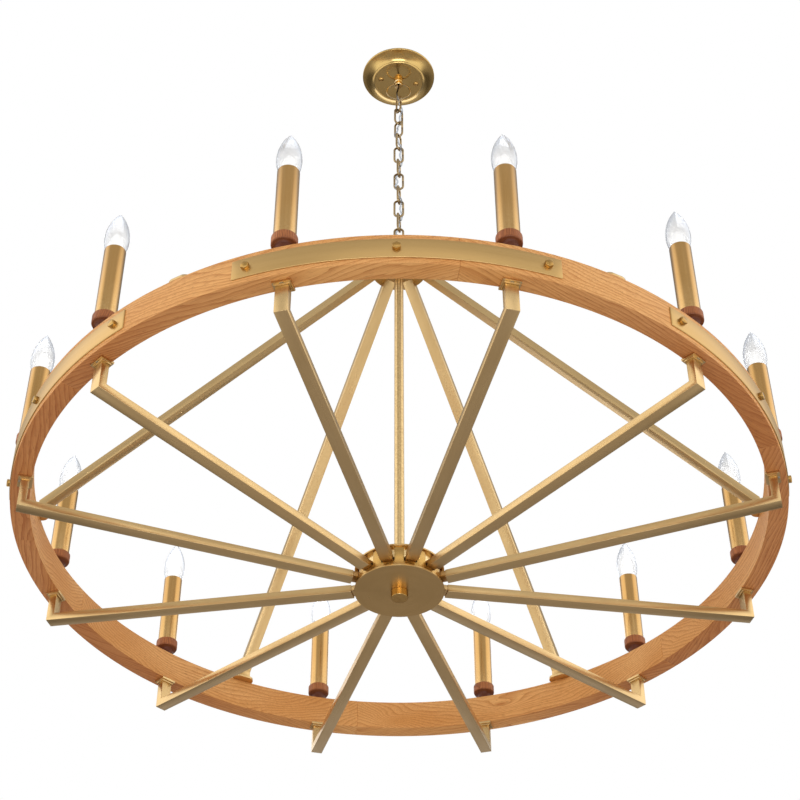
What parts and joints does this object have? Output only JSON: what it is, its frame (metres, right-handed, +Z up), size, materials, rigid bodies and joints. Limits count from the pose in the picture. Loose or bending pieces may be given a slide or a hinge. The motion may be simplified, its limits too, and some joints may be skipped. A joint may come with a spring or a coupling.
{
  "type": "wagon wheel chandelier",
  "caption": "Chandelier with a banded wooden rim, candle lights, brass spokes and a hubbed stem, hung on a link chain from a round ceiling canopy.",
  "frame": {"origin": "middle of the crossbar's upper face, against the ceiling, on the chandelier's axis", "axes": "+Z up towards the ceiling, +Y away from the picture's viewer"},
  "size_m": [1.2, 1.216, 1.2571],
  "materials": {
    "satin_brass": "satin brushed, aged",
    "bright_brass": "polished",
    "chain_brass": "antique, semi-gloss",
    "steel": "zinc plated",
    "cord_plastic": "smooth, slightly clear sheath",
    "rim_wood": "oiled, warm light brown",
    "cup_wood": "turned and stained dark red-brown",
    "holder_plastic": "matt",
    "bulb_glass": "clear, lit"
  },
  "bodies": {
    "ceiling_mount": {"crossbar": "steel", "nipple": "steel", "nipple_nut": "steel", "canopy": "satin_brass", "canopy_screws": "satin_brass", "canopy_collar": "satin_brass", "supply_cord": "cord_plastic"},
    "suspension_ring": {"suspension_ring": "chain_brass"},
    "link_01": {"chain_link_01": "chain_brass"},
    "link_02": {"chain_link_02": "chain_brass"},
    "link_03": {"chain_link_03": "chain_brass"},
    "link_04": {"chain_link_04": "chain_brass"},
    "link_05": {"chain_link_05": "chain_brass"},
    "link_06": {"chain_link_06": "chain_brass"},
    "link_07": {"chain_link_07": "chain_brass"},
    "link_08": {"chain_link_08": "chain_brass"},
    "link_09": {"chain_link_09": "chain_brass"},
    "link_10": {"chain_link_10": "chain_brass"},
    "link_11": {"chain_link_11": "chain_brass"},
    "link_12": {"chain_link_12": "chain_brass"},
    "wheel": {"hub_loop": "chain_brass", "upper_hub": "satin_brass", "hub_screws": "satin_brass", "stem": "satin_brass", "tie_tube": "steel", "upper_spokes": "satin_brass", "foot_screws": "satin_brass", "hub_top_plate": "satin_brass", "hub_spacer": "steel", "hub_drum": "bright_brass", "hub_bottom_plate": "satin_brass", "finial": "satin_brass", "arms": "satin_brass", "arm_collars": "satin_brass", "candle_rods": "steel", "cup_nuts": "steel", "candle_cups": "cup_wood", "candle_sleeves": "satin_brass", "lamp_holders": "holder_plastic", "rim_straps": "satin_brass", "strap_bolts": "bright_brass", "rim_piece_1": "rim_wood", "rim_piece_2": "rim_wood", "rim_piece_3": "rim_wood", "rim_piece_4": "rim_wood", "rim_piece_5": "rim_wood", "rim_piece_6": "rim_wood"},
    "bulb_01": {"bulb_01": "bulb_glass"},
    "bulb_02": {"bulb_02": "bulb_glass"},
    "bulb_03": {"bulb_03": "bulb_glass"},
    "bulb_04": {"bulb_04": "bulb_glass"},
    "bulb_05": {"bulb_05": "bulb_glass"},
    "bulb_06": {"bulb_06": "bulb_glass"},
    "bulb_07": {"bulb_07": "bulb_glass"},
    "bulb_08": {"bulb_08": "bulb_glass"},
    "bulb_09": {"bulb_09": "bulb_glass"},
    "bulb_10": {"bulb_10": "bulb_glass"},
    "bulb_11": {"bulb_11": "bulb_glass"},
    "bulb_12": {"bulb_12": "bulb_glass"}
  },
  "joints": [
    {"name": "ring_swing", "type": "hinge", "parent": "ceiling_mount", "child": "suspension_ring", "pos_m": [0, 0, -0.024], "axis": [1, 0, 0], "range_deg": [-10, 10]},
    {"name": "link_01_swing", "type": "hinge", "parent": "suspension_ring", "child": "link_01", "pos_m": [0, 0, -0.07], "axis": [1, 0, 0], "range_deg": [-5, 5], "deforming": ["supply_cord"]},
    {"name": "link_02_swing", "type": "hinge", "parent": "link_01", "child": "link_02", "pos_m": [0, 0, -0.108], "axis": [0.5, -0.866, 0], "range_deg": [-5, 5]},
    {"name": "link_03_swing", "type": "hinge", "parent": "link_02", "child": "link_03", "pos_m": [0, 0, -0.1455], "axis": [0.866, 0.5, 0], "range_deg": [-5, 5]},
    {"name": "link_04_swing", "type": "hinge", "parent": "link_03", "child": "link_04", "pos_m": [0, 0, -0.183], "axis": [0.866, -0.5, 0], "range_deg": [-5, 5]},
    {"name": "link_05_swing", "type": "hinge", "parent": "link_04", "child": "link_05", "pos_m": [0, 0, -0.2205], "axis": [0.5, 0.866, 0], "range_deg": [-5, 5]},
    {"name": "link_06_swing", "type": "hinge", "parent": "link_05", "child": "link_06", "pos_m": [0, 0, -0.258], "axis": [1, 0, 0], "range_deg": [-5, 5]},
    {"name": "link_07_swing", "type": "hinge", "parent": "link_06", "child": "link_07", "pos_m": [0, 0, -0.2955], "axis": [0.2588, 0.9659, 0], "range_deg": [-5, 5]},
    {"name": "link_08_swing", "type": "hinge", "parent": "link_07", "child": "link_08", "pos_m": [0, 0, -0.333], "axis": [1, 0, 0], "range_deg": [-5, 5]},
    {"name": "link_09_swing", "type": "hinge", "parent": "link_08", "child": "link_09", "pos_m": [0, 0, -0.3705], "axis": [0.2588, 0.9659, 0], "range_deg": [-5, 5]},
    {"name": "link_10_swing", "type": "hinge", "parent": "link_09", "child": "link_10", "pos_m": [0, 0, -0.408], "axis": [1, 0, 0], "range_deg": [-5, 5]},
    {"name": "link_11_swing", "type": "hinge", "parent": "link_10", "child": "link_11", "pos_m": [0, 0, -0.4455], "axis": [0.2588, 0.9659, 0], "range_deg": [-5, 5]},
    {"name": "link_12_swing", "type": "hinge", "parent": "link_11", "child": "link_12", "pos_m": [0, 0, -0.483], "axis": [1, 0, 0], "range_deg": [-5, 5]},
    {"name": "wheel_swing", "type": "hinge", "parent": "link_12", "child": "wheel", "pos_m": [0, 0, -0.5205], "axis": [0.2588, 0.9659, 0], "range_deg": [-5, 5]},
    {"name": "bulb_01_turn", "type": "hinge", "parent": "wheel", "child": "bulb_01", "pos_m": [0.15141, -0.56507, -0.9377], "axis": [0, 0, 1], "range_deg": [0, 1080]},
    {"name": "bulb_02_turn", "type": "hinge", "parent": "wheel", "child": "bulb_02", "pos_m": [0.41366, -0.41366, -0.9377], "axis": [0, 0, 1], "range_deg": [0, 1080]},
    {"name": "bulb_03_turn", "type": "hinge", "parent": "wheel", "child": "bulb_03", "pos_m": [0.56507, -0.15141, -0.9377], "axis": [0, 0, 1], "range_deg": [0, 1080]},
    {"name": "bulb_04_turn", "type": "hinge", "parent": "wheel", "child": "bulb_04", "pos_m": [0.56507, 0.15141, -0.9377], "axis": [0, 0, 1], "range_deg": [0, 1080]},
    {"name": "bulb_05_turn", "type": "hinge", "parent": "wheel", "child": "bulb_05", "pos_m": [0.41366, 0.41366, -0.9377], "axis": [0, 0, 1], "range_deg": [0, 1080]},
    {"name": "bulb_06_turn", "type": "hinge", "parent": "wheel", "child": "bulb_06", "pos_m": [0.15141, 0.56507, -0.9377], "axis": [0, 0, 1], "range_deg": [0, 1080]},
    {"name": "bulb_07_turn", "type": "hinge", "parent": "wheel", "child": "bulb_07", "pos_m": [-0.15141, 0.56507, -0.9377], "axis": [0, 0, 1], "range_deg": [0, 1080]},
    {"name": "bulb_08_turn", "type": "hinge", "parent": "wheel", "child": "bulb_08", "pos_m": [-0.41366, 0.41366, -0.9377], "axis": [0, 0, 1], "range_deg": [0, 1080]},
    {"name": "bulb_09_turn", "type": "hinge", "parent": "wheel", "child": "bulb_09", "pos_m": [-0.56507, 0.15141, -0.9377], "axis": [0, 0, 1], "range_deg": [0, 1080]},
    {"name": "bulb_10_turn", "type": "hinge", "parent": "wheel", "child": "bulb_10", "pos_m": [-0.56507, -0.15141, -0.9377], "axis": [0, 0, 1], "range_deg": [0, 1080]},
    {"name": "bulb_11_turn", "type": "hinge", "parent": "wheel", "child": "bulb_11", "pos_m": [-0.41366, -0.41366, -0.9377], "axis": [0, 0, 1], "range_deg": [0, 1080]},
    {"name": "bulb_12_turn", "type": "hinge", "parent": "wheel", "child": "bulb_12", "pos_m": [-0.15141, -0.56507, -0.9377], "axis": [0, 0, 1], "range_deg": [0, 1080]}
  ]
}
